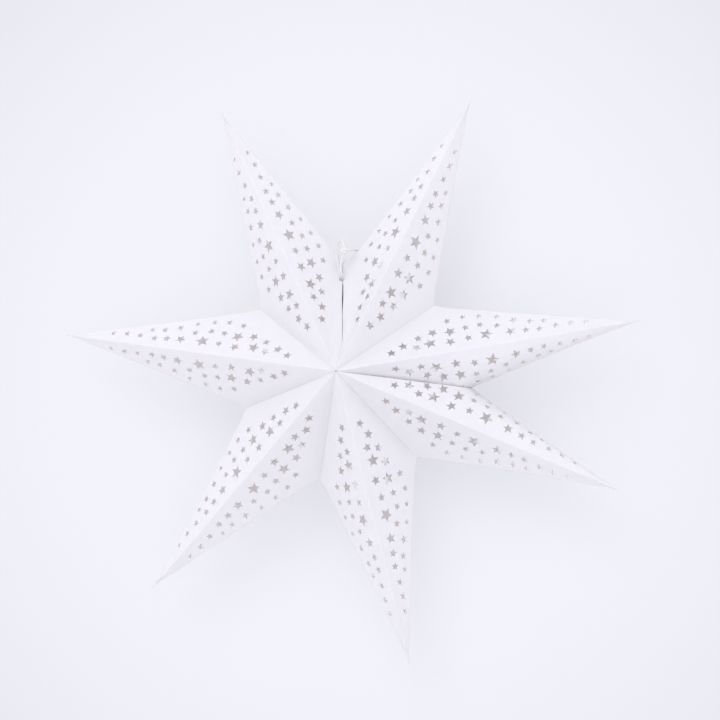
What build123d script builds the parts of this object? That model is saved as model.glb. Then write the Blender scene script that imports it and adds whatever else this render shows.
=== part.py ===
"""Paper snowflake star: seven folded card points around a hub, tied shut at one seam.

Lying on its back: +Z is the star's axis, the back hub touches z = 0, and the seam faces +Y.
Every point is four flat card panels (front and back, left and right) that end in a pressed
tip. Front and back panels meet in the middle plane, and neighbours meet in the valleys.
"""
import os
from math import atan2, cos, hypot, radians, sin, tan

from build123d import *

# ---- driving dimensions, mm and degrees ----
TIP_RADIUS = 300.0  # star axis to where a point's four panels run out
NOTCH_RADIUS = 112.0  # star axis to the notch between two points
HALF_DEPTH = 66.0  # middle plane to either hub
CARD = 0.4  # thickness of the card
BOARD = 0.9  # thickness of the stiff card beside the seam

# Ridge direction of each point, and the notches on its left and right, clockwise from the
# seam. The third notch is pinched, so points 2 and 3 stand closer than the others.
RIDGES = [65.5, 10.0, -23.0, -77.5, -132.5, -187.5, -243.5]
LEFT_NOTCHES = [90.4, 37.5, -7.0, -50.0, -104.5, -161.0, -215.5]
RIGHT_NOTCHES = [37.5, -7.0, -50.0, -104.5, -161.0, -215.5, -268.8]
SEAM = 90.8  # direction of the open seam, between points 7 and 1

CREASE_GAP = 0.05  # between two panels of one point, inside the fold
VALLEY_GAP = 0.15  # from a valley to the panel on each side of it
HUB_HOLE = 2.2  # radius of the small open centre of each hub
TIP_CUT = 288.0  # star axis to where the panels stop and the pressed tip starts

# Pressed tip: radius, half width and half height of its diamond section, where it leaves
# the panels, where it is pressed flat, and at its end.
TIP_SECTIONS = [(288.4, 2.6, 2.3), (299.0, 0.6, 1.7), (308.0, 0.4, 0.7)]

# Punched stars of one panel, on the evenly spread star: distance along the ridge from the
# hub, distance from the ridge, outer radius. The left panel mirrors the right one.
PUNCHES = [
    (73.0, 18.5, 4.8),
    (86.0, 13.5, 4.5),
    (100.5, 16.0, 6.2),
    (105.5, 32.0, 5.0),
    (121.0, 14.0, 5.0),
    (123.0, 29.0, 6.0),
    (158.0, 15.5, 6.8),
    (183.0, 13.5, 5.3),
]
STAR_WAIST = 0.45  # inner radius of a punched star, as a share of its outer radius
PUNCH_TURN = 25.0  # each star is turned by this much more than the one before
EVEN_HALF_ANGLE = 27.5  # half the angle between the notches of a point, evenly spread

# Glue flaps inside the joined valleys, with bevelled ends.
FLAP_WIDTH = 9.0
FLAP_BEVEL = 50.0
FLAP_START = 18.0  # from the hub, along the valley
FLAP_END = 4.0  # from the notch
FLAP_SETBACK = 0.6  # from the valley crease
GLUE_GAP = 0.05

# Seam stiffeners: a chevron of board along each side of the seam.
CHEVRON_WIDTH = 12.0
CHEVRON_SETBACK = 1.0  # below the valley crease
CHEVRON_HUB_GAP = 9.0  # stays this far from the star axis
SEAM_SIDE_GAP = 0.25  # between a chevron and its own side of the slit

# Tie cord, in seam coordinates: across the seam (towards point 1), out from the star axis, up.
CORD = 1.6
TIE_HOLE_RADIUS = 3.0
TIE_HOLE_ACROSS = -2.6
TIE_HOLE_OUT = 92.2
KNOT_RADIUS = 2.6
KNOT = (-0.4, 117.9, 82.0)
LONG_STRAND = [
    (-3.5, 90.6, 72.4),
    (-3.7, 95.2, 81.6),
    (-5.6, 107.5, 76.4),
    (-6.0, 117.9, 72.8),
    (-5.8, 127.0, 71.2),
    (-3.1, 130.5, 76.6),
    (-0.4, 127.0, 82.0),
    (-0.4, 120.7, 82.0),
]
SHORT_STRAND = [
    (-1.7, 90.7, 71.3),
    (-1.6, 95.2, 82.2),
    (-3.2, 106.4, 80.2),
    (-1.0, 115.2, 81.5),
]
HANGING_CORD = [
    (1.5, 119.4, 80.6),
    (7.6, 124.4, 76.0),
    (9.2, 128.6, 66.0),
    (12.4, 131.4, 52.0),
    (20.0, 132.0, 37.0),
    (26.0, 136.4, 20.5),
    (35.4, 138.0, 8.0),
    (48.5, 142.0, 2.1),
    (62.2, 141.0, 1.8),
]
HANK_CENTRE_RADIUS = 165.0  # along the ridge of point 1
HANK_MEAN_RADIUS = 9.6
HANK_BODY = 4.8  # width and height of the hank's section
END_KNOT = (84.8, 145.0, 2.9)
END_KNOT_RADIUS = 2.0
FLOOR = 0.8  # level of the surface below the hank, from where the back creases cross

POINTS = range(7)
os.makedirs("parts", exist_ok=True)


def polar(radius, angle, z=0.0):
    """Point at a radius and a direction about the star axis."""
    return Vector(radius * cos(radians(angle)), radius * sin(radians(angle)), z)


def panel_triangle(half_angle):
    """Crease triangle laid flat: ridge length, and the notch along and across it."""
    ridge = hypot(TIP_RADIUS, HALF_DEPTH)
    valley = hypot(NOTCH_RADIUS, HALF_DEPTH)
    chord = TIP_RADIUS * NOTCH_RADIUS * cos(radians(half_angle)) + HALF_DEPTH**2
    along = chord / ridge
    return ridge, along, (valley**2 - along**2) ** 0.5


def star_wire(x, y, radius, turn):
    """Closed outline of a five-pointed star."""
    corners = []
    for i in range(10):
        reach = radius if i % 2 == 0 else radius * STAR_WAIST
        angle = radians(turn + 36 * i)
        corners.append((x + reach * cos(angle), y + reach * sin(angle)))
    return Wire.make_polygon([Vector(*corner) for corner in corners], close=True)


def inset(corners, setbacks):
    """Corners of a convex outline whose edges move inwards, each by its own setback."""
    lines = []
    for i, (x, y) in enumerate(corners):
        nx, ny = corners[(i + 1) % len(corners)]
        length = hypot(nx - x, ny - y)
        ux, uy = (nx - x) / length, (ny - y) / length
        lines.append((x - uy * setbacks[i], y + ux * setbacks[i], ux, uy))
    moved = []
    for i, (x, y, ux, uy) in enumerate(lines):
        px, py, vx, vy = lines[i - 1]
        step = ((x - px) * uy - (y - py) * ux) / (vx * uy - vy * ux)
        moved.append((px + vx * step, py + vy * step))
    return moved


def mitre(normal, other):
    """Setback of a panel's edge, so that its inner face stays on its side of a plane."""
    lean = abs(normal.dot(other))
    return CARD * lean / (1 - lean**2) ** 0.5 + CREASE_GAP


def panel_plane(ridge_angle, notch_angle, front):
    """Plane of a panel from its hub: x along the ridge, y across towards the notch.

    Also whether its z points out of the star, and the crease triangle laid flat.
    """
    up = 1 if front else -1
    hub = Vector(0, 0, HALF_DEPTH * (1 + up))
    run = (polar(TIP_RADIUS, ridge_angle, HALF_DEPTH) - hub).normalized()
    side = polar(NOTCH_RADIUS, notch_angle, HALF_DEPTH) - hub
    side = (side - run * side.dot(run)).normalized()
    laid = Plane(origin=hub, x_dir=run, z_dir=run.cross(side))
    return laid, laid.z_dir.Z * up > 0, panel_triangle(abs(notch_angle - ridge_angle))


def panel(ridge_angle, notch_angle, front):
    """One flat card panel, with its punched stars, laid between hub, tip and notch."""
    laid, outwards, (ridge, along, across) = panel_plane(ridge_angle, notch_angle, front)
    _, even_along, even_across = panel_triangle(EVEN_HALF_ANGLE)
    ridge_setback = mitre(laid.z_dir, polar(1, ridge_angle + 90))
    side_setback = mitre(laid.z_dir, Vector(0, 0, 1))

    # Crease triangle with the hub corner and the tip corner cut off square to the ridge.
    hub_cut = HUB_HOLE * ridge / TIP_RADIUS
    tip_cut = TIP_CUT * ridge / TIP_RADIUS
    side_slope = across / (ridge - along)
    corners = [
        (hub_cut, 0),
        (tip_cut, 0),
        (tip_cut, (ridge - tip_cut) * side_slope),
        (along, across),
        (hub_cut, hub_cut * across / along),
    ]
    corners = inset(corners, [ridge_setback, 0, side_setback, VALLEY_GAP, 0])
    outline = Wire.make_polygon([Vector(*corner) for corner in corners], close=True)

    holes = []
    for i, (u, v, radius) in enumerate(PUNCHES):
        x = u + v * (along - even_along) / even_across
        y = v * across / even_across
        holes.append(star_wire(x, y, radius, PUNCH_TURN * i))
    sheet = Face(outline, holes)
    return laid * extrude(sheet, amount=-CARD if outwards else CARD, dir=(0, 0, 1))


def pressed_tip(ridge_angle):
    """End of a point, where its four panels are pressed flat: facets between diamonds."""
    across = polar(1, ridge_angle + 90)
    rings = []
    for radius, half_width, half_height in TIP_SECTIONS:
        middle = polar(radius, ridge_angle, HALF_DEPTH)
        wide, high = across * half_width, Vector(0, 0, half_height)
        rings.append([middle + wide, middle + high, middle - wide, middle - high])
    outlines = [rings[0], rings[-1]]
    for near, far in zip(rings, rings[1:]):
        for i in range(4):
            j = (i + 1) % 4
            outlines += [[near[i], near[j], far[i]], [near[j], far[j], far[i]]]
    return Solid(Shell([Face(Wire.make_polygon(corners)) for corners in outlines]))


def glue_flap(ridge_angle, notch_angle, front):
    """Flap of the neighbouring point, glued inside this panel along its valley edge."""
    laid, outwards, (_, along, across) = panel_plane(ridge_angle, notch_angle, front)
    length = hypot(along, across)
    run = Vector(along, across).normalized()
    inside = Vector(run.Y, -run.X)
    bevel = FLAP_WIDTH / tan(radians(FLAP_BEVEL))
    near = run * FLAP_START
    far = run * (length - FLAP_END)
    lift = inside * FLAP_SETBACK
    corners = [
        near + lift,
        near + run * bevel + inside * FLAP_WIDTH,
        far - run * bevel + inside * FLAP_WIDTH,
        far + lift,
    ]
    sheet = Face(Wire.make_polygon(corners, close=True))
    depth = CARD + GLUE_GAP
    flap = extrude(sheet, amount=CARD, dir=(0, 0, 1))
    return laid * (Pos(0, 0, -depth - CARD if outwards else depth) * flap)


def seam_board(notch_angle, side):
    """Chevron of stiff card inside one edge of the seam, from hub to hub by the notch."""
    slope = HALF_DEPTH / NOTCH_RADIUS
    square = 1 / cos(atan2(HALF_DEPTH, NOTCH_RADIUS))
    outer = CHEVRON_SETBACK * square
    inner = outer + CHEVRON_WIDTH * square
    start = CHEVRON_HUB_GAP

    def height(radius, drop):
        return max(HALF_DEPTH - radius * slope - drop, 0)

    rim = [
        (start, height(start, outer)),
        (NOTCH_RADIUS - outer / slope, 0),
        (start, -height(start, outer)),
        (start, -height(start, inner)),
        (NOTCH_RADIUS - inner / slope, 0),
        (start, height(start, inner)),
    ]
    across = polar(1, notch_angle - 90)
    plane = Plane(
        origin=Vector(0, 0, HALF_DEPTH) + across * side * SEAM_SIDE_GAP,
        x_dir=polar(1, notch_angle),
        z_dir=-across,
    )
    board = plane * make_face(Polyline(*rim, close=True))
    return extrude(board, amount=BOARD, dir=across * side)


def from_seam(point):
    """Place a point given across the seam, out from the axis and up."""
    across, out, up = point
    return polar(out, SEAM, up) + polar(across, SEAM - 90)


def tie_hole():
    """Upright punch through the front edge of the seam, where the cord comes out."""
    foot = from_seam((TIE_HOLE_ACROSS, TIE_HOLE_OUT, HALF_DEPTH + 4.5))
    return Pos(foot) * Cylinder(TIE_HOLE_RADIUS, 30, align=(Align.CENTER, Align.CENTER, Align.MIN))


def cord_tube(name, points):
    """Round cord along straight runs joined by tangent arcs."""
    spots = [from_seam(point) for point in points]
    radii = []
    for before, here, after in zip(spots, spots[1:], spots[2:]):
        first, second = here - before, after - here
        half_turn = radians(first.get_angle(second)) / 2
        radii.append(0.45 * min(first.length, second.length) / tan(half_turn))
    path = FilletPolyline(*spots, radius=radii)
    start = Plane(origin=spots[0], z_dir=spots[1] - spots[0])
    section = RegularPolygon(CORD / 2, 8)
    tube = sweep(start * section, path=path)
    expected = section.area * path.length
    print(name, "radii", [round(r, 1) for r in radii], "length", round(path.length, 1))
    print(name, "volume", round(tube.volume, 2), "section times length", round(expected, 2))
    return tube


def blunt_ring(centre, mean_radius, size):
    """Many-sided ring with blunt edges, about an upright axis."""
    outer = RegularPolygon(mean_radius + size / 2, 16)
    inner = RegularPolygon(mean_radius - size / 2, 16)
    ring = extrude(outer - inner, amount=size / 2, both=True)
    rims = ring.faces().sort_by(Axis.Z)
    edges = rims[0].edges() + rims[-1].edges()
    return Pos(centre) * chamfer(edges, size * 0.28)


def knot(centre, radius):
    """Knot of the cord as a blunt block."""
    block = Box(radius * 1.8, radius * 1.8, radius * 1.8)
    return Pos(centre) * chamfer(block.edges(), radius * 0.5)


def card_nodes():
    """Every card and board piece of the star, by name."""
    hole = tie_hole()
    pieces = {}
    for k in POINTS:
        notches = {"left": LEFT_NOTCHES[k], "right": RIGHT_NOTCHES[k]}
        for side, notch in notches.items():
            for face in ("front", "back"):
                leaf = panel(RIDGES[k], notch, face == "front")
                if (k, side, face) == (6, "right", "front"):
                    leaf = leaf - hole
                pieces[f"point_{k + 1}_{face}_{side}"] = leaf
        pieces[f"point_{k + 1}_tip"] = pressed_tip(RIDGES[k])
        if k > 0:
            pieces[f"point_{k}_flap_front"] = glue_flap(RIDGES[k], LEFT_NOTCHES[k], True)
            pieces[f"point_{k}_flap_back"] = glue_flap(RIDGES[k], LEFT_NOTCHES[k], False)
    pieces["seam_board_1"] = seam_board(LEFT_NOTCHES[0], 1) - hole
    pieces["seam_board_7"] = seam_board(RIGHT_NOTCHES[6], -1) - hole
    return pieces


def cord_nodes():
    """The tie cord, its knots and the spare cord on the floor, by name."""
    hank_centre = polar(HANK_CENTRE_RADIUS, RIDGES[0], FLOOR + HANK_BODY / 2)
    return {
        "tie_cord_long": cord_tube("tie_cord_long", LONG_STRAND),
        "tie_cord_short": cord_tube("tie_cord_short", SHORT_STRAND),
        "hanging_cord": cord_tube("hanging_cord", HANGING_CORD),
        "tie_knot": knot(from_seam(KNOT), KNOT_RADIUS),
        "cord_hank": blunt_ring(hank_centre, HANK_MEAN_RADIUS, HANK_BODY),
        "end_knot": knot(from_seam(END_KNOT), END_KNOT_RADIUS),
    }


card = card_nodes()
outline = Compound([piece for shape in card.values() for piece in shape.solids()])
box = outline.bounding_box()
origin = Vector((box.min.X + box.max.X) / 2, (box.min.Y + box.max.Y) / 2, box.min.Z)

# The star rests on its back hub, and the origin lies under the middle of its outline.
for name, shape in {**card, **cord_nodes()}.items():
    placed = Pos(-origin) * shape.solid()
    placed.label = name
    export_step(placed, f"parts/{name}.step")
print("star axis at", round(-origin.X, 3), round(-origin.Y, 3), "lowered by", round(origin.Z, 3))
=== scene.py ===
"""Paper snowflake star: seven punched and folded card points round a hub, tied at one seam."""
from math import atan2, cos, hypot, pi, radians, sin

import bmesh
import bpy
import numpy as np
from mathutils import Matrix, Vector


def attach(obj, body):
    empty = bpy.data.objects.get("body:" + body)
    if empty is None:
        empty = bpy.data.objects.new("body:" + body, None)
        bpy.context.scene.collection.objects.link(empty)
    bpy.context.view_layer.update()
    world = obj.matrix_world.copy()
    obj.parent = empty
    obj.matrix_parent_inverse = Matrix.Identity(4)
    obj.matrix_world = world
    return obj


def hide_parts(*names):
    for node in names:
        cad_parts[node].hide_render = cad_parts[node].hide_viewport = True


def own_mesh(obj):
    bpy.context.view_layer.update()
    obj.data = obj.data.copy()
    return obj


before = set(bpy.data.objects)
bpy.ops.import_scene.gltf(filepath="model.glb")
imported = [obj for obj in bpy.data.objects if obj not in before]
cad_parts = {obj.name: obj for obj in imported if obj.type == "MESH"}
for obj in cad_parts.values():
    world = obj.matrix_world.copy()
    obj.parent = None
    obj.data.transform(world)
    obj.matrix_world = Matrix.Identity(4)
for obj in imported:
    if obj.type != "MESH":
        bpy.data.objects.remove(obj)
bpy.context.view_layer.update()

# ---- View: the star lies flat on its back hub, and the camera leans a little to its left ----
# The middle of the star is where its axis crosses the plane of its side creases. Sizes are in
# millimetres up to where they go into a mesh.
MM = 0.001
STAR_MIDDLE = Vector((1.013, 10.176, 65.286)) * MM
HALF_DEPTH = 66.0  # middle plane to either hub
CAMERA_LEAN = (-10.19, -1.62)  # about the Y and X axes, degrees
CAMERA_PLACE = Vector((12.7, 13.0, 2699.3))  # from the star's middle, seen along the lean

scene = bpy.context.scene
scene.view_settings.view_transform = "Standard"
scene.cycles.diffuse_bounces = 8  # white card lights white card
lean = (
    Matrix.Rotation(radians(CAMERA_LEAN[0]), 3, "Y")
    @ Matrix.Rotation(radians(CAMERA_LEAN[1]), 3, "X")
)
camera = bpy.data.objects.new("Camera", bpy.data.cameras.new("Camera"))
camera.data.sensor_width = 36.0
camera.data.lens = 132.06
camera.data.clip_end = 20.0
camera.matrix_world = Matrix.Translation(
    STAR_MIDDLE + lean.transposed() @ CAMERA_PLACE * MM
) @ lean.transposed().to_4x4()
scene.collection.objects.link(camera)
scene.camera = camera


# ---- Tie cord: white cotton cord, spun from three strands and knotted round the seam ----
# A long strand and a short one come out of the punched hole, meet in a knot past the notch,
# and the cord goes on behind the star to its spare length, wound up beside point 1.
SEAM = 90.8  # direction of the open seam, degrees
CORD = 2.0 * MM
STRANDS = 3


def polar(radius, angle, height=0.0):
    """Place at a radius and a direction about the star's axis, mm above its middle plane."""
    turn = radians(angle)
    return STAR_MIDDLE + Vector((radius * cos(turn), radius * sin(turn), height)) * MM


def from_seam(across, out, up):
    """Place given across the seam towards point 1, out from the axis and up from the back."""
    return polar(out, SEAM, up - HALF_DEPTH) + (polar(across, SEAM - 90) - STAR_MIDDLE)


def smooth_line(route, spacing):
    """Evenly spaced places along the smooth line that a cord takes through its route."""
    line = bpy.data.curves.new("Route", "CURVE")
    line.dimensions = "3D"
    spline = line.splines.new("NURBS")
    spline.points.add(len(route) - 1)
    for control, place in zip(spline.points, route):
        control.co = (*place, 1)
    spline.order_u = 3
    spline.use_endpoint_u = True
    spline.resolution_u = 16
    holder = bpy.data.objects.new("Route", line)
    scene.collection.objects.link(holder)
    seen = holder.evaluated_get(bpy.context.evaluated_depsgraph_get())
    drawn = bpy.data.meshes.new_from_object(seen)
    places = np.array([vertex.co for vertex in drawn.vertices], float)
    bpy.data.objects.remove(holder)
    gone = np.r_[0, np.cumsum(np.linalg.norm(np.diff(places, axis=0), axis=1))]
    steps = np.linspace(0, gone[-1], max(int(gone[-1] / spacing), 8))
    return np.column_stack([np.interp(steps, gone, places[:, i]) for i in range(3)])


def spin_cord(name, places, diameter, closed=False):
    """Mesh of a three-strand cord along its places, with UVs along and round it."""
    around = 6 * STRANDS
    strand_turn = 2 * pi / STRANDS
    count = len(places)
    if closed:
        runs = np.roll(places, -1, axis=0) - np.roll(places, 1, axis=0)
    else:
        runs = np.gradient(places, axis=0)
    runs /= np.linalg.norm(runs, axis=1)[:, None]
    side = np.cross(runs[0], (0.3, 0.2, 0.9))
    sides = []
    for run in runs:
        side = side - run * side.dot(run)
        side = side / np.linalg.norm(side)
        sides.append(side)
    sides = np.array(sides)
    ups = np.cross(runs, sides)
    gone = np.r_[0, np.cumsum(np.linalg.norm(np.diff(places, axis=0), axis=1))]
    twist = gone / (2.2 * diameter) * strand_turn
    if closed:  # the strands have to meet where the loop closes
        drift = atan2(sides[0] @ ups[-1], sides[0] @ sides[-1])
        share = gone / (gone[-1] + np.linalg.norm(places[0] - places[-1]))
        twist = share * (round(twist[-1] / strand_turn) * strand_turn + drift)
    rings = []
    for j in range(around):
        angle = 2 * pi * j / around
        reach = diameter / 2 * (0.83 + 0.17 * abs(cos(STRANDS / 2 * angle)) ** 0.7)
        rings.append(
            places
            + sides * (reach * np.cos(angle + twist))[:, None]
            + ups * (reach * np.sin(angle + twist))[:, None]
        )
    vertices = np.stack(rings, axis=1).reshape(-1, 3)
    faces = []
    for i in range(count if closed else count - 1):
        for j in range(around):
            k, after = (j + 1) % around, (i + 1) % count
            faces.append((i * around + j, i * around + k, after * around + k, after * around + j))
    if not closed:
        faces.append(tuple(reversed(range(around))))
        faces.append(tuple(range((count - 1) * around, count * around)))
    mesh = bpy.data.meshes.new(name)
    mesh.from_pydata(vertices.tolist(), [], faces)
    mesh.shade_smooth()
    unwrapped = mesh.uv_layers.new(name="UVMap")
    along = np.repeat(gone, around)
    strand = np.tile(np.arange(around) / around, count)
    corners = np.array([loop.vertex_index for loop in mesh.loops])
    laid = np.column_stack([along[corners] * 100, strand[corners]])
    unwrapped.data.foreach_set("uv", laid.ravel())
    tidy = bmesh.new()
    tidy.from_mesh(mesh)
    bmesh.ops.recalc_face_normals(tidy, faces=tidy.faces)
    tidy.to_mesh(mesh)
    tidy.free()
    piece = bpy.data.objects.new(name, mesh)
    scene.collection.objects.link(piece)
    return piece


def small_knot(name, centre, size):
    """One turn of cord pulled tight on itself."""
    turns = np.linspace(0, 2 * pi, 120, endpoint=False)
    path = np.column_stack([
        np.sin(turns) + 2 * np.sin(2 * turns),
        np.cos(turns) - 2 * np.cos(2 * turns),
        -1.15 * np.sin(3 * turns),
    ])
    return spin_cord(name, np.array(centre) + path * size * MM, 1.4 * CORD, closed=True)


long_line = smooth_line(
    [
        from_seam(-2.4, 93.7, 72.4),
        from_seam(-3.1, 97.8, 81.6),
        from_seam(-6.9, 107.5, 77.2),
        from_seam(-9.2, 118.3, 72.8),
        from_seam(-9.6, 128.5, 71.8),
        from_seam(-5.0, 135.6, 76.6),
        from_seam(0.6, 132.0, 81.4),
        from_seam(1.0, 124.0, 82.2),
    ],
    0.3 * MM,
)
short_line = smooth_line(
    [
        from_seam(-0.9, 93.8, 71.3),
        from_seam(-1.3, 97.8, 82.2),
        from_seam(-4.6, 108.4, 80.4),
        from_seam(-1.0, 120.4, 81.6),
    ],
    0.3 * MM,
)
hanging_route = [
    from_seam(2.6, 123.6, 80.8),
    from_seam(6.0, 124.6, 78.2),
    from_seam(8.5, 125.3, 71.5),
    from_seam(9.4, 125.1, 62.0),
    from_seam(12.2, 125.4, 51.0),
    from_seam(18.2, 128.0, 37.0),
    from_seam(25.6, 132.8, 20.5),
    from_seam(35.4, 138.0, 8.0),
    from_seam(48.5, 142.0, 2.4),
    from_seam(59.0, 141.6, 1.9),
]
# Four turns: two spiral inwards on the floor, and two outwards again on top of them.
HANK_ACROSS, HANK_OUT = 70.5, 149.2  # middle of the wound turns
HANK_START, HANK_STEP = 240, 27.5  # degrees
TURN_PITCH = 1.8  # from one turn to the next
for step in range(55):
    turned = step * HANK_STEP
    wind = HANK_START + turned
    layer = min(max((turned - 690) / 60, 0), 1)
    ring = 11.3 - TURN_PITCH * turned / 360
    if turned >= 720:
        ring = 7.7 + TURN_PITCH * (turned - 720) / 360
    reach = ring / 0.966  # the smooth line cuts the corners of its route
    hanging_route.append(
        from_seam(
            HANK_ACROSS + reach * cos(radians(wind)),
            HANK_OUT + reach * sin(radians(wind)),
            1.9 + 1.85 * layer,
        )
    )
hanging_route += [from_seam(80.2, 142.0, 3.1), from_seam(84.0, 144.6, 2.9)]
hanging_line = smooth_line(hanging_route, 0.5 * MM)

tie_cord_long = spin_cord("tie_cord_long_spun", long_line, CORD)
tie_cord_short = spin_cord("tie_cord_short_spun", short_line, CORD)
hanging_cord = spin_cord("hanging_cord_and_hank_spun", hanging_line, CORD)
tie_knot = small_knot("tie_knot_tied", from_seam(0.6, 123.2, 82.0), 0.82)
end_knot = small_knot("end_knot_tied", from_seam(84.8, 145.0, 2.9), 0.5)

# A thread holds the wound turns together.
THREAD_ROUND = 70  # where it goes round them, degrees
thread_turns = np.linspace(0, 2 * pi, 48, endpoint=False)
thread_middle = from_seam(
    HANK_ACROSS + 9.55 * cos(radians(THREAD_ROUND)),
    HANK_OUT + 9.55 * sin(radians(THREAD_ROUND)),
    2.9,
)
thread_out = np.array(polar(1, SEAM - 90 + THREAD_ROUND) - STAR_MIDDLE)
hank_thread = spin_cord(
    "hank_thread",
    np.array(thread_middle)
    + np.outer(np.cos(thread_turns) * 2.85, thread_out)
    + np.outer(np.sin(thread_turns) * 2.0 * MM, (0, 0, 1)),
    0.3 * MM,
    closed=True,
)


class Value:
    """A number or colour worked out over a surface: arithmetic on it adds Math nodes."""

    def __init__(self, finish, socket):
        self.finish = finish
        self.socket = socket

    def math(self, operation, first, second):
        return self.finish.node("ShaderNodeMath", {"operation": operation}, {0: first, 1: second})

    def __add__(self, other):
        return self.math("ADD", self, other)

    __radd__ = __add__

    def __mul__(self, other):
        return self.math("MULTIPLY", self, other)

    __rmul__ = __mul__


class Finish:
    """A material built node by node."""

    def __init__(self, name):
        self.material = bpy.data.materials.new(name)
        self.material.use_nodes = True
        self.tree = self.material.node_tree
        self.tree.nodes.clear()

    def node(self, kind, settings=None, sockets=None, output=0):
        """Adds one node: its settings first, then the values or links of its sockets."""
        made = self.tree.nodes.new(kind)
        for name, value in (settings or {}).items():
            setattr(made, name, value)
        for name, value in (sockets or {}).items():
            if isinstance(value, Value):
                self.tree.links.new(value.socket, made.inputs[name])
            else:
                made.inputs[name].default_value = value
        return Value(self, made.outputs[output])

    def blend(self, share, low, high):
        """Colour between two colours."""
        sockets = {0: share, 6: low, 7: high}
        return self.node("ShaderNodeMix", {"data_type": "RGBA"}, sockets, output=2)

    def surface(self, **sockets):
        """Ends the material in one Principled surface."""
        named = {name.replace("_", " "): value for name, value in sockets.items()}
        self.end(self.node("ShaderNodeBsdfPrincipled", sockets=named))

    def end(self, shader):
        end = self.tree.nodes.new("ShaderNodeOutputMaterial")
        self.tree.links.new(shader.socket, end.inputs["Surface"])


cotton = Finish("cotton cord")
laid = cotton.node("ShaderNodeTexCoord", output=2)
round_cord = cotton.node("ShaderNodeSeparateXYZ", sockets={0: laid}, output=1)
# Painted shade: the cord's colour is darker in the grooves between its strands, where shade falls,
# and lighter on their crowns. The fibre noise adds a random tone.
painted_groove_shade = cotton.node(
    "ShaderNodeMath",
    {"operation": "ABSOLUTE"},
    {0: cotton.node(
        "ShaderNodeMath", {"operation": "COSINE"}, {0: round_cord * (STRANDS * pi)}
    )},
)
fibres = cotton.node(
    "ShaderNodeTexNoise",
    sockets={
        "Vector": cotton.node("ShaderNodeTexCoord", output=3),
        "Scale": 2600.0, "Detail": 4.0, "Roughness": 0.6,
    },
)
cotton.surface(
    Base_Color=cotton.blend(
        painted_groove_shade * 0.7 + fibres * 0.3, (0.60, 0.585, 0.58, 1), (0.84, 0.83, 0.825, 1)
    ),
    Roughness=0.78 + fibres * 0.2,
    Normal=cotton.node(
        "ShaderNodeBump",
        sockets={"Strength": 0.5, "Distance": 0.0002, "Height": fibres},
    ),
)
for piece in (tie_cord_long, tie_cord_short, hanging_cord, tie_knot, end_knot, hank_thread):
    piece.data.materials.append(cotton.material)


# ---- How the points fold: every piece of a point rides on that point's body ----
# Each point's two side creases and two ridges close while the star closes like a book.
RIDGES = [65.5, 10.0, -23.0, -77.5, -132.5, -187.5, -243.5]
LEFT_NOTCHES = [90.4, 37.5, -7.0, -50.0, -104.5, -161.0, -215.5]
RIGHT_NOTCHES = [37.5, -7.0, -50.0, -104.5, -161.0, -215.5, -268.8]


def fold_with(piece, k):
    """The piece rides on point k + 1."""
    across = polar(1, RIDGES[k] + 90) - STAR_MIDDLE
    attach(piece, f"point_{k + 1}")
    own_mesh(piece)


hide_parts("tie_cord_long")
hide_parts("tie_cord_short")
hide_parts("hanging_cord", "cord_hank")
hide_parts("tie_knot")
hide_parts("end_knot")
for piece in (tie_cord_long, tie_cord_short, hanging_cord, tie_knot, end_knot, hank_thread):
    fold_with(piece, 0)


# ---- Points: white card, punched flat, creased and glued into four-sided pyramids ----
# One die cuts the same panel everywhere: a long triangle with 26 punched stars, which runs
# on into the tip that is pressed flat. It is bent round its creases, not folded dead sharp.
TIP_RADIUS = 300.0
NOTCH_RADIUS = 112.0
CARD = 0.4
HUB_HEIGHT = 65.28
RIDGE_LENGTH = hypot(TIP_RADIUS, HALF_DEPTH)
NOTCH_ALONG = (TIP_RADIUS * NOTCH_RADIUS * cos(radians(27.5)) + HALF_DEPTH**2) / RIDGE_LENGTH
NOTCH_ACROSS = (NOTCH_RADIUS**2 + HALF_DEPTH**2 - NOTCH_ALONG**2) ** 0.5
NARROW_FROM = 302.5  # where the pressed tip's long edge begins, along the ridge
BLANK_END = 315.4  # end of the pressed tip, along the ridge from the hub
TIP_WIDTH = 1.3  # of one panel, at the end of the pressed tip
# A glued flap lies inside each joined valley, and the panel over it stands up a little.
VALLEY_SLOPE = atan2(NOTCH_ACROSS, NOTCH_ALONG)
VALLEY_LENGTH = hypot(NOTCH_ALONG, NOTCH_ACROSS)
FLAP_WIDTH, FLAP_START, FLAP_END = 9.0, 18.0, 4.0  # start from the hub, end from the notch
FLAP_BEVEL = 0.84  # how much shorter the flap gets at each end, per mm of its width
# Along the ridge, away from it, outer radius and turn of each punched star, mm and degrees.
PUNCHES = [
    (58.5, 12.0, 4.6, 13), (71.5, 18.5, 4.8, 20), (84.0, 13.5, 4.5, 49), (98.5, 16.5, 6.2, 30),
    (88.0, 26.0, 4.3, 13), (103.5, 30.5, 5.0, 49), (119.0, 14.0, 5.0, 49), (137.5, 15.5, 4.1, 30),
    (156.0, 16.0, 6.8, 69), (121.0, 28.0, 6.0, 38), (137.0, 30.0, 4.0, 30), (152.0, 30.5, 3.8, 66),
    (120.5, 43.0, 3.8, 32), (137.0, 45.0, 3.5, 31), (153.0, 42.5, 3.3, 15), (168.5, 25.5, 3.8, 14),
    (170.5, 37.5, 3.1, 17), (186.5, 29.5, 4.1, 37), (180.5, 14.5, 5.3, 37), (196.0, 13.0, 4.2, 14),
    (209.5, 11.5, 3.9, 14), (202.5, 24.0, 3.7, 15), (216.0, 22.0, 3.2, 13), (226.5, 12.5, 3.6, 15),
    (241.5, 12.5, 3.8, 13), (256.5, 10.5, 3.2, 12),
]
PUNCH_SCALE = 1.16  # the stars are this much larger than listed, to a tenth of a millimetre


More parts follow.
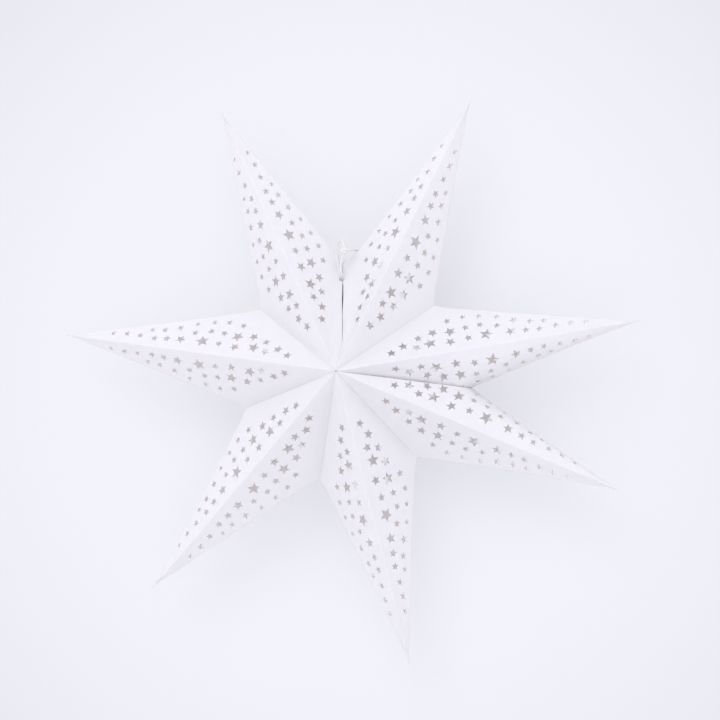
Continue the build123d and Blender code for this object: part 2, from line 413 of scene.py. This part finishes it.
def blank_width(u):
    """Width of the flat panel, from its ridge to its far edge."""
    narrow = NOTCH_ACROSS * (RIDGE_LENGTH - NARROW_FROM) / (RIDGE_LENGTH - NOTCH_ALONG)
    return np.interp(
        u, [0, NOTCH_ALONG, NARROW_FROM, BLANK_END], [0, NOTCH_ACROSS, narrow, TIP_WIDTH]
    )


columns = np.concatenate([
    [1.0, 1.8, 3, 5, 7, 9.5, 12.5], np.linspace(16, NOTCH_ALONG, 26),
    np.linspace(NOTCH_ALONG, 300, 50)[1:], [303, 306, 309, 312, BLANK_END],
])
near_crease = np.array([0, 0.006, 0.013, 0.022, 0.034, 0.05, 0.07, 0.1, 0.135])
rows = np.concatenate([near_crease, np.linspace(0.18, 0.82, 14), 1 - near_crease[::-1]])
sheet_u, sheet_t = np.meshgrid(columns, rows, indexing="ij")
flat = np.column_stack([sheet_u.ravel(), (sheet_t * blank_width(sheet_u)).ravel()])
layer = len(flat)
blank_points = np.vstack([
    np.column_stack([flat, np.zeros(layer)]), np.column_stack([flat, np.full(layer, -CARD)])
])
blank_faces = []
across_count = len(rows)
for i in range(len(columns) - 1):
    for j in range(across_count - 1):
        a, b = i * across_count + j, (i + 1) * across_count + j
        blank_faces.append((a, b, b + 1, a + 1))
        blank_faces.append((layer + a, layer + a + 1, layer + b + 1, layer + b))
rim = (
    [i * across_count for i in range(len(columns))]
    + [(len(columns) - 1) * across_count + j for j in range(1, across_count)]
    + [i * across_count + across_count - 1 for i in reversed(range(len(columns) - 1))]
    + [j for j in reversed(range(1, across_count - 1))]
)
for a, b in zip(rim, rim[1:] + rim[:1]):
    blank_faces.append((a, layer + a, layer + b, b))
blank_mesh = bpy.data.meshes.new("Card blank")
blank_mesh.from_pydata((blank_points * MM).tolist(), [], blank_faces)
blank = bpy.data.objects.new("Card blank", blank_mesh)
scene.collection.objects.link(blank)


def punch_marks(punches):
    """Points that say where each punch strikes, how far it reaches and how it is turned."""
    marks = bpy.data.meshes.new("Punch places")
    marks.from_pydata([(u * MM, v * MM, 0) for u, v, _, _ in punches], [], [])
    reach = marks.attributes.new("reach", "FLOAT", "POINT")
    reach.data.foreach_set("value", [radius * MM for _, _, radius, _ in punches])
    turn = marks.attributes.new("turn", "FLOAT", "POINT")
    turn.data.foreach_set("value", [radians(turned) for _, _, _, turned in punches])
    places = bpy.data.objects.new("Punch places", marks)
    scene.collection.objects.link(places)
    return places


class Making:
    """A Geometry Nodes tree built node by node, with its own named inputs."""

    def __init__(self, name, inputs):
        self.tree = bpy.data.node_groups.new(name, "GeometryNodeTree")
        self.identifiers = {}
        for label, kind in {"Geometry": "NodeSocketGeometry", **inputs}.items():
            socket = self.tree.interface.new_socket(label, in_out="INPUT", socket_type=kind)
            self.identifiers[label] = socket.identifier
        self.tree.interface.new_socket(
            "Geometry", in_out="OUTPUT", socket_type="NodeSocketGeometry"
        )
        self.given = self.tree.nodes.new("NodeGroupInput")
        self.end = self.tree.nodes.new("NodeGroupOutput")

    def input(self, label):
        return self.given.outputs[label]

    def node(self, kind, settings=None, sockets=None, output=0):
        """Adds one node: its settings first, then the values or links of its sockets."""
        made = self.tree.nodes.new(kind)
        for name, value in (settings or {}).items():
            setattr(made, name, value)
        for name, value in (sockets or {}).items():
            if isinstance(value, bpy.types.NodeSocket):
                self.tree.links.new(value, made.inputs[name])
            else:
                made.inputs[name].default_value = value
        return made.outputs[output]

    def make(self, piece, values, name):
        """Plain mesh of the piece with the tree and its inputs on it."""
        modifier = piece.modifiers.new(self.tree.name, "NODES")
        modifier.node_group = self.tree
        for label, value in values.items():
            modifier[self.identifiers[label]] = value
        seen = piece.evaluated_get(bpy.context.evaluated_depsgraph_get())
        made = bpy.data.meshes.new_from_object(seen)
        made.name = name
        piece.modifiers.remove(modifier)
        return made


punching = Making(
    "Star punching",
    {
        "Places": "NodeSocketObject",
        "Corners": "NodeSocketInt",
        "Waist": "NodeSocketFloat",
        "Stroke": "NodeSocketFloat",
        "Material": "NodeSocketMaterial",
    },
)
star_outline = punching.node(
    "GeometryNodeCurveStar",
    sockets={
        "Points": punching.input("Corners"),
        "Inner Radius": punching.input("Waist"),
        "Outer Radius": 1.0,
        "Twist": 0.0,
    },
)
stroke_up = punching.node("ShaderNodeCombineXYZ", sockets={"Z": punching.input("Stroke")})
stroke_down = punching.node(
    "ShaderNodeVectorMath", {"operation": "SCALE"}, {0: stroke_up, "Scale": -1.0}
)
stroke = punching.node(
    "GeometryNodeCurvePrimitiveLine", {"mode": "POINTS"}, {"Start": stroke_down, "End": stroke_up}
)
punch_tool = punching.node(
    "GeometryNodeCurveToMesh",
    sockets={"Curve": stroke, "Profile Curve": star_outline, "Fill Caps": True},
)
places = punching.node(
    "GeometryNodeObjectInfo", {"transform_space": "ORIGINAL"},
    {"Object": punching.input("Places")}, output=4,
)
marks = punching.node("GeometryNodeMeshToPoints", sockets={"Mesh": places})
turned_by = punching.node(
    "GeometryNodeInputNamedAttribute", {"data_type": "FLOAT"}, {"Name": "turn"}
)
reach_of = punching.node(
    "GeometryNodeInputNamedAttribute", {"data_type": "FLOAT"}, {"Name": "reach"}
)
struck = punching.node(
    "GeometryNodeInstanceOnPoints",
    sockets={
        "Points": marks,
        "Instance": punch_tool,
        "Rotation": punching.node("ShaderNodeCombineXYZ", sockets={"Z": turned_by}),
        "Scale": punching.node(
            "ShaderNodeCombineXYZ", sockets={"X": reach_of, "Y": reach_of, "Z": 1.0}
        ),
    },
)
struck = punching.node("GeometryNodeRealizeInstances", sockets={"Geometry": struck})
cut = punching.node(
    "GeometryNodeMeshBoolean", {"operation": "DIFFERENCE", "solver": "EXACT"},
    {"Mesh 1": punching.input("Geometry"), "Mesh 2": struck},
)
cut = punching.node("GeometryNodeTriangulate", sockets={"Mesh": cut})
cut = punching.node("GeometryNodeRealizeInstances", sockets={"Geometry": cut})
cut = punching.node(
    "GeometryNodeSetMaterial", sockets={"Geometry": cut, "Material": punching.input("Material")}
)
punching.tree.links.new(cut, punching.end.inputs[0])


def card_finish(name, light, shade, glow, thin):
    """Uncoated card: fine fibres, a matt tooth, and some light that comes through it."""
    card = Finish(name)
    here = card.node("ShaderNodeTexCoord", output=3)
    tooth = card.node(
        "ShaderNodeTexNoise",
        sockets={"Vector": here, "Scale": 1500.0, "Detail": 5.0, "Roughness": 0.65},
    )
    cloud = card.node(
        "ShaderNodeTexNoise", sockets={"Vector": here, "Scale": 110.0, "Detail": 3.0}
    )
    fibre = card.node(
        "ShaderNodeTexNoise",
        sockets={
            "Vector": card.node(
                "ShaderNodeMapping",
                sockets={"Vector": here, "Rotation": (0.3, 0.2, 0.6), "Scale": (1.0, 9.0, 4.0)},
            ),
            "Scale": 160.0, "Detail": 4.0, "Distortion": 1.4,
        },
    )
    colour = card.blend(cloud * 0.6 + tooth * 0.4, shade, light)
    relief = card.node(
        "ShaderNodeBump",
        sockets={"Strength": 0.25, "Distance": 0.0001, "Height": tooth * 0.6 + fibre * 0.4},
    )
    matt = card.node(
        "ShaderNodeBsdfPrincipled",
        sockets={
            "Base Color": colour, "Roughness": 0.72 + tooth * 0.22, "Normal": relief,
            "Specular IOR Level": 0.3,
        },
    )
    through = card.node("ShaderNodeBsdfTranslucent", sockets={"Color": glow})
    card.end(card.node("ShaderNodeMixShader", sockets={0: thin, 1: matt, 2: through}))
    return card.material


LIGHT_THROUGH = 0.36  # share of the light that the card lets through
outer_card = card_finish(
    "white card outside",
    (0.868, 0.868, 0.908, 1), (0.833, 0.833, 0.873, 1), (0.95, 0.93, 0.91, 1), LIGHT_THROUGH,
)
# Painted light: the card's inside is lighter and warmer than its outside, which stands in for the
# warm light bouncing about inside the star.
inside_card_painted_bounce = card_finish(
    "white card inside",
    (0.93, 0.915, 0.905, 1), (0.89, 0.875, 0.865, 1), (0.96, 0.94, 0.925, 1), LIGHT_THROUGH,
)

# The star punch has five corners; a round punch also bites the seam edge of point 7, where
# the cord comes out.
stars = punch_marks(
    [(u, v, round(reach * PUNCH_SCALE, 1), turn) for u, v, reach, turn in PUNCHES]
)
bite = punch_marks([(95.0, 55.4, 2.2, 0)])
punch = {"Stroke": 2 * MM, "Material": outer_card}
star_punch = {"Places": stars, "Corners": 5, "Waist": 0.43, **punch}
round_punch = {"Places": bite, "Corners": 12, "Waist": 0.98, **punch}
punched_blank = bpy.data.objects.new("Punched", punching.make(blank, star_punch, "Punched"))
scene.collection.objects.link(punched_blank)
blanks = {
    "plain": punched_blank.data.copy(),
    "bitten": punching.make(punched_blank, round_punch, "Bitten"),
}
for spent in (blank, stars, bite, punched_blank):
    bpy.data.objects.remove(spent)


def smooth(x):
    """Soft step from 0 to 1."""
    x = np.clip(x, 0, 1)
    return x * x * (3 - 2 * x)


def unit(v):
    """Direction of a vector, or of each row of vectors."""
    return v / np.linalg.norm(v, axis=-1, keepdims=True)


def stand_out(k, left, u):
    """How far the middle of a panel stands out of its plane, mm.

    The third notch is pinched, which bows the panels beside it, and the seam's panels sag
    near the hub. The others wave a little.
    """
    if (k, left) == (2, True):
        return 14.0 * np.clip(np.minimum(u / 110, (RIDGE_LENGTH - u) / 197), 0, 1)
    if (k, left) == (1, False):
        near, far = np.clip(u / 115, 0, 1) ** 2, np.clip((RIDGE_LENGTH - u) / 192, 0, 1) ** 1.5
        return 12.0 * np.minimum(near, far)
    if (k, left) == (0, True):
        return -5.0 * smooth(u / 55) * (1 - smooth((u - 95) / 50))
    if (k, left) == (6, False):
        return -2.5 * smooth(u / 55) * (1 - smooth((u - 95) / 50))
    wave = 0.9 * sin(2.3 * k + (1.1 if left else 0))
    return wave * smooth(u / 90) * (1 - smooth((u - 90) / 180))


def seam_bow(share):
    """How far the seam's two edges bow towards point 1, from the hub to the notch, mm."""
    return np.interp(
        share,
        [0, 0.1, 0.17, 0.24, 0.31, 0.38, 0.51, 0.65, 0.8, 0.87, 0.93, 0.965, 1],
        [0, 2.1, 3.1, 3.5, 3.3, 2.7, 1.3, -0.3, -1.7, -2.4, -3.3, -3.5, 0],
    )


def place_on_panel(k, left, front, u, v, depth):
    """Places on a folded panel, mm from the star's middle, for places on the flat blank."""
    notch_angle = radians(LEFT_NOTCHES[k] if left else RIGHT_NOTCHES[k])
    ridge_angle = radians(RIDGES[k])
    up = 1.0 if front else -1.0
    out = np.array([cos(ridge_angle), sin(ridge_angle), 0])
    tangent = np.array([-sin(ridge_angle), cos(ridge_angle), 0]) * (1 if left else -1)
    high = np.array([0, 0, up])
    hub = high * HALF_DEPTH
    tip = out * TIP_RADIUS
    notch = np.array([cos(notch_angle), sin(notch_angle), 0]) * NOTCH_RADIUS
    beside = np.array([-sin(notch_angle), cos(notch_angle), 0]) * (1 if left else -1)
    run = unit(tip - hub)
    normal = unit(np.cross(tip - hub, notch - hub))
    normal = normal * np.sign(normal @ high)
    inward_from_ridge = unit((notch - hub) - run * ((notch - hub) @ run))
    edge_run = unit(tip - notch)
    inward_from_edge = unit((hub - notch) - edge_run * ((hub - notch) @ edge_run))

    # A place lies between the ridge and the edge, which is the valley as far as the notch and
    # the side crease beyond it. Both run together in the pressed tip.
    width = blank_width(u)
    t = np.clip(v / width, 0, 1)
    radius = u * TIP_RADIUS / RIDGE_LENGTH
    height = np.interp(radius, [0, 285, 292, 299, 308], [HALF_DEPTH, 3.3, 2.2, 1.7, 0.7])
    ridge = np.outer(radius, out) + np.outer(height, high)
    along_valley = np.outer(u / NOTCH_ALONG, notch - hub) + hub
    share = (u - NOTCH_ALONG) / (RIDGE_LENGTH - NOTCH_ALONG)
    along_side = notch + np.outer(share, tip - notch)
    half_width = np.interp(radius, [280, 292, 299, 308], [3.6, 1.4, 0.6, 0.4])
    pressed = np.outer(radius, out) + np.outer(half_width, tangent)
    press = smooth((u - 284) / 14)[:, None]
    edge = np.where((u < NOTCH_ALONG)[:, None], along_valley, along_side)
    edge = edge * (1 - press) + pressed * press
    place = ridge + (edge - ridge) * t[:, None]

    # The panel's own shape: bowed or sagging, a little uneven, and raised over a glued flap.
    deep, even = t * (1 - t**4) / 1.07 + np.sin(pi * t) / 2, np.sin(pi * t)
    sag = stand_out(k, left, u) * (deep + (even - deep) * smooth((u - NOTCH_ALONG) / 30))
    uneven = 0.22 * np.sin(u / 17 + 2.1 * k) * np.sin(v / 13 + 1.3 * k + up) + 0.15 * np.sin(
        u / 41 + v / 23 + 1.7 * k + up
    )
    from_valley = u * sin(VALLEY_SLOPE) - v * cos(VALLEY_SLOPE)
    valley_run = u * cos(VALLEY_SLOPE) + v * sin(VALLEY_SLOPE)
    flap_end = VALLEY_LENGTH - FLAP_END
    raised = (
        (1 - smooth((from_valley - FLAP_WIDTH + 0.8) / 1.6))
        * smooth((valley_run - FLAP_START + 1 - from_valley * FLAP_BEVEL) / 2)
        * smooth((flap_end + 1 - from_valley * FLAP_BEVEL - valley_run) / 2)
    )
    lift = sag + uneven * np.sin(pi * t) * smooth(width / 12)
    if left and k > 0:
        lift = lift + 0.35 * raised
    place = place + np.outer(lift, normal)

    # Both creases are bent round: the sheet leaves its plane a little before the fold.
    size = np.clip(width / 34, 0, 1)
    leans = np.tile(normal, (len(u), 1))
    steepness = width / blank_width(np.array([NOTCH_ALONG]))[0]
    across_real = np.linalg.norm(np.cross(notch - hub, run))
    ridge_half = np.arccos(np.clip(abs(normal @ tangent), 0, 1))
    edge_half = np.arccos(np.clip(abs(normal[2]), 0, 1))
    for drop, half, inward, away, growth in (
        (0.2, ridge_half, inward_from_ridge, t * across_real * steepness, 1.0),
        (
            1.2, edge_half, inward_from_edge, (1 - t) * across_real * steepness * 0.945,
            smooth((u - NOTCH_ALONG) / 14),
        ),
    ):
        bend = drop * sin(half) / (1 - sin(half)) * size * growth + 1e-6
        reach = bend / np.tan(half)
        turn = np.clip(1 - away / reach, 0, 1) * (pi / 2 - half)
        moved = np.where(away < reach, reach - away - bend * np.sin(turn), 0)
        sunk = np.where(away < reach, bend * (1 - np.cos(turn)), 0)
        place = place + np.outer(moved, inward) - np.outer(sunk, normal)
        leans = leans + np.outer(np.cos(turn) - 1, normal) - np.outer(np.sin(turn), inward)
    leans = unit(leans)

    # Beside the pinched notch the side edges bow towards each other until they touch.
    if (k, left) in ((2, True), (1, False)):
        bow = 10.5 * (1 - np.exp(-np.clip(share, 0, 1) / 0.06)) * (1 - np.clip(share, 0, 1)) ** 1.3
        shut = 7.0 * smooth((t - 0.42) / 0.3) * np.clip(u / 110, 0, 1)
        shut = shut * (1 - smooth((u - NOTCH_ALONG) / 25))
        place = place + np.outer(bow * t**1.5 + shut, beside)

    # The free edges of the seam bow sideways, open a little half way up, and are drawn
    # outwards by the cord at the notch.
    if (k, left) in ((0, True), (6, False)):
        valley_share = np.clip(valley_run / VALLEY_LENGTH, 0, 1)
        gape = np.interp(
            valley_share, [0, 0.12, 0.24, 0.4, 0.7, 0.85, 0.93, 1],
            [0, -0.06, -0.1, 0.2, 0.25, -0.25, -0.4, 0],
        )
        shift = seam_bow(valley_share) * (-1 if left else 1) - gape
        place = place + np.outer(shift * t**3 * (u < NOTCH_ALONG), beside)
        corner = 4.0 * np.exp(-(((u - NOTCH_ALONG) / 9) ** 2)) * t**6
        place = place + np.outer(corner, notch / NOTCH_RADIUS)

    # The pressed tip is solid: the sheet's inner face runs together in its middle.
    closing = smooth((u - 300) / (BLANK_END - 300))[:, None]
    solid = (np.outer(radius, out) - place) * (depth / CARD)[:, None]
    place = place - leans * depth[:, None] * (1 - closing) + solid * closing

    # No panel crosses the plane of the notch that it shares with its neighbour.
    if (k, left) not in ((0, True), (6, False)):
        place = place - np.outer(np.maximum(place @ beside + 0.02, 0), beside)
    # The hub is pressed flat where the star rests on it.
    place[:, 2] = np.clip(place[:, 2], -HUB_HEIGHT, HUB_HEIGHT)
    return place


def sheet_of_panels(k):
    """Places and triangles of a point's four panels, joined along its creases."""
    places, triangles, inner, seams, count = [], [], [], [], 0
    for left in (True, False):
        for front in (True, False):
            cut = blanks["bitten" if (k, left, front) == (6, False, True) else "plain"]
            laid_flat = np.array([vertex.co for vertex in cut.vertices]) / MM
            u, v, depth = laid_flat[:, 0], laid_flat[:, 1], -laid_flat[:, 2]
            corners = np.array([face.vertices[:] for face in cut.polygons])
            t = v / blank_width(u)
            on_ridge = t < 1e-3
            on_side = (t > 1 - 1e-3) & (u > NOTCH_ALONG - 1e-3)
            joined = on_ridge[corners].all(axis=1) | on_side[corners].all(axis=1)
            kept = corners[~joined]
            places.append(place_on_panel(k, left, front, u, v, depth))
            triangles.append((kept if left == front else kept[:, ::-1]) + count)
            inner.append((depth[kept] > CARD * 0.98).all(axis=1))
            seams.append(on_ridge | (t > 1 - 1e-3) | (u > BLANK_END - 1e-3))
            count += len(u)
    return np.vstack(places), np.vstack(triangles), np.concatenate(inner), np.concatenate(seams)


for k in range(7):
    places, triangles, inside, seams = sheet_of_panels(k)
    mesh = bpy.data.meshes.new(f"point_{k + 1}_folded")
    mesh.from_pydata((places * MM + np.array(STAR_MIDDLE)).tolist(), [], triangles.tolist())
    mesh.materials.append(outer_card)
    mesh.materials.append(inside_card_painted_bounce)
    mesh.polygons.foreach_set("material_index", inside.astype(np.int32))
    joining = bmesh.new()
    joining.from_mesh(mesh)
    joining.verts.ensure_lookup_table()
    meeting = [vertex for vertex, meets in zip(joining.verts, seams) if meets]
    bmesh.ops.remove_doubles(joining, verts=meeting, dist=0.012 * MM)
    bmesh.ops.recalc_face_normals(joining, faces=joining.faces)
    joining.to_mesh(mesh)
    joining.free()
    mesh.shade_smooth()
    mesh.set_sharp_from_angle(angle=radians(32))
    point = bpy.data.objects.new(mesh.name, mesh)
    scene.collection.objects.link(point)
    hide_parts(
        *(
            f"point_{k + 1}_{face}_{side}"
            for face in ("front", "back") for side in ("left", "right")
        ),
        f"point_{k + 1}_tip",
    )
    fold_with(point, k)


# ---- Glue flaps: strips of the same card with bevelled ends, glued inside the next point ----
# They keep a little clear of the valley's crease, and a film of glue holds them off the panel.
FLAP_SETBACK = 0.6
GLUE = 0.06
FLAP_LINES, FLAP_PLACES = 7, 24  # lines along the flap, and places on each
for k in range(1, 7):
    for front in (True, False):
        name = f"point_{k}_flap_{'front' if front else 'back'}"
        strip = []
        for q in np.linspace(FLAP_SETBACK, FLAP_SETBACK + FLAP_WIDTH, FLAP_LINES):
            bevel = (q - FLAP_SETBACK) * FLAP_BEVEL
            start, end = FLAP_START + bevel, VALLEY_LENGTH - FLAP_END - bevel
            for s in np.linspace(start, end, FLAP_PLACES):
                strip.append((
                    s * cos(VALLEY_SLOPE) + q * sin(VALLEY_SLOPE),
                    s * sin(VALLEY_SLOPE) - q * cos(VALLEY_SLOPE),
                ))
        strip = np.array(strip)
        side = len(strip)
        layers = [
            place_on_panel(k, True, front, strip[:, 0], strip[:, 1], np.full(side, depth))
            for depth in (CARD + GLUE, 2 * CARD + GLUE)
        ]
        faces = []
        for i in range(FLAP_LINES - 1):
            for j in range(FLAP_PLACES - 1):
                a = i * FLAP_PLACES + j
                b = a + FLAP_PLACES
                faces.append((a, a + 1, b + 1, b))
                faces.append((side + a, side + b, side + b + 1, side + a + 1))
        last = side - FLAP_PLACES
        rim = (
            list(range(FLAP_PLACES))
            + [i * FLAP_PLACES + FLAP_PLACES - 1 for i in range(1, FLAP_LINES)]
            + [last + j for j in reversed(range(FLAP_PLACES - 1))]
            + [i * FLAP_PLACES for i in reversed(range(1, FLAP_LINES - 1))]
        )
        faces += [(a, side + a, side + b, b) for a, b in zip(rim, rim[1:] + rim[:1])]
        mesh = bpy.data.meshes.new(f"{name}_glued")
        mesh.from_pydata((np.vstack(layers) * MM + np.array(STAR_MIDDLE)).tolist(), [], faces)
        turning = bmesh.new()
        turning.from_mesh(mesh)
        bmesh.ops.recalc_face_normals(turning, faces=turning.faces)
        turning.to_mesh(mesh)
        turning.free()
        mesh.shade_smooth()
        mesh.set_sharp_from_angle(angle=radians(32))
        mesh.materials.append(inside_card_painted_bounce)
        flap = bpy.data.objects.new(mesh.name, mesh)
        scene.collection.objects.link(flap)
        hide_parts(name)
        fold_with(flap, k - 1)


# ---- Seam boards: two chevrons of stiff white board, glued along both sides of the seam ----
# They are cut from 0.9 mm board, and their edges are a little rounded by the knife.
board = card_finish(
    "white board", (0.86, 0.85, 0.83, 1), (0.80, 0.79, 0.77, 1), (0.9, 0.88, 0.85, 1), 0.15
)
for name, k in (("seam_board_1", 0), ("seam_board_7", 6)):
    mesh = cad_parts[name].data.copy()
    mesh.name = f"{name}_cut"
    mesh.materials.clear()
    mesh.materials.append(board)
    cutting = bmesh.new()
    cutting.from_mesh(mesh)
    bmesh.ops.remove_doubles(cutting, verts=cutting.verts, dist=0.001 * MM)
    bmesh.ops.dissolve_limit(
        cutting, angle_limit=radians(1), verts=cutting.verts, edges=cutting.edges
    )
    sharp = [edge for edge in cutting.edges if edge.is_manifold and edge.calc_face_angle() > 0.9]
    bmesh.ops.bevel(
        cutting, geom=sharp, offset=0.12 * MM, segments=2, affect="EDGES", clamp_overlap=True
    )
    across = polar(1, SEAM - 90) - STAR_MIDDLE
    for vertex in cutting.verts:
        share = (vertex.co - STAR_MIDDLE).xy.length / (NOTCH_RADIUS * MM)
        vertex.co += across * float(seam_bow(share))
    cutting.to_mesh(mesh)
    cutting.free()
    chevron = bpy.data.objects.new(mesh.name, mesh)
    scene.collection.objects.link(chevron)
    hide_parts(name)
    fold_with(chevron, k)


# ---- Floor and light: a white sheet that glows with painted light in a pool round the star, and soft daylight from beyond the seam ----
floor_mesh = bpy.data.meshes.new("Floor")
floor_mesh.from_pydata([(-4, -4, 0), (4, -4, 0), (4, 4, 0), (-4, 4, 0)], [], [(0, 1, 2, 3)])
floor = bpy.data.objects.new("Floor", floor_mesh)
scene.collection.objects.link(floor)
paper = Finish("floor paper")
under = paper.node("ShaderNodeNewGeometry", output=6)
sheet = paper.node("ShaderNodeBsdfDiffuse", sockets={"Color": (0.38, 0.38, 0.385, 1)})
# Painted light: the floor glows by itself. It is brightest round the middle of the star and dimmer
# further out, and it also lights the star from below. Only a small share of its brightness comes
# from light that falls on it, so the shadows on it stay faint.
from_glow_centre = paper.node(
    "ShaderNodeVectorMath", {"operation": "SUBTRACT"},
    {0: paper.node("ShaderNodeTexCoord", output=3), 1: (0.0, -0.015, 0.0)},
)
away = paper.node("ShaderNodeVectorMath", {"operation": "DOT_PRODUCT"}, {0: from_glow_centre, 1: from_glow_centre}, 1)
painted_glow = paper.node(
    "ShaderNodeEmission",
    sockets={
        "Color": paper.blend(away * 2.2, (0.455, 0.455, 0.485, 1), (0.265, 0.265, 0.29, 1)),
        "Strength": 1.0,
    },
)
both = paper.node("ShaderNodeAddShader", sockets={0: sheet, 1: painted_glow})
clear = paper.node("ShaderNodeBsdfTransparent")
paper.end(paper.node("ShaderNodeMixShader", sockets={0: under, 1: both, 2: clear}))
floor_mesh.materials.append(paper.material)

world = bpy.data.worlds.new("Daylight")
world.use_nodes = True
sky = world.node_tree.nodes["Background"]
sky.inputs["Color"].default_value = (0.935, 0.938, 1.0, 1)
sky.inputs["Strength"].default_value = 1.25
scene.world = world

window_place = Vector((-0.7, 2.2, 2.6))
window = bpy.data.lights.new("Window", "AREA")
window.shape = "DISK"
window.size = 2.2
window.energy = 21.0
daylight = bpy.data.objects.new("Window", window)
daylight.matrix_world = Matrix.Translation(window_place) @ (
    STAR_MIDDLE - window_place
).to_track_quat("-Z", "Y").to_matrix().to_4x4()
scene.collection.objects.link(daylight)
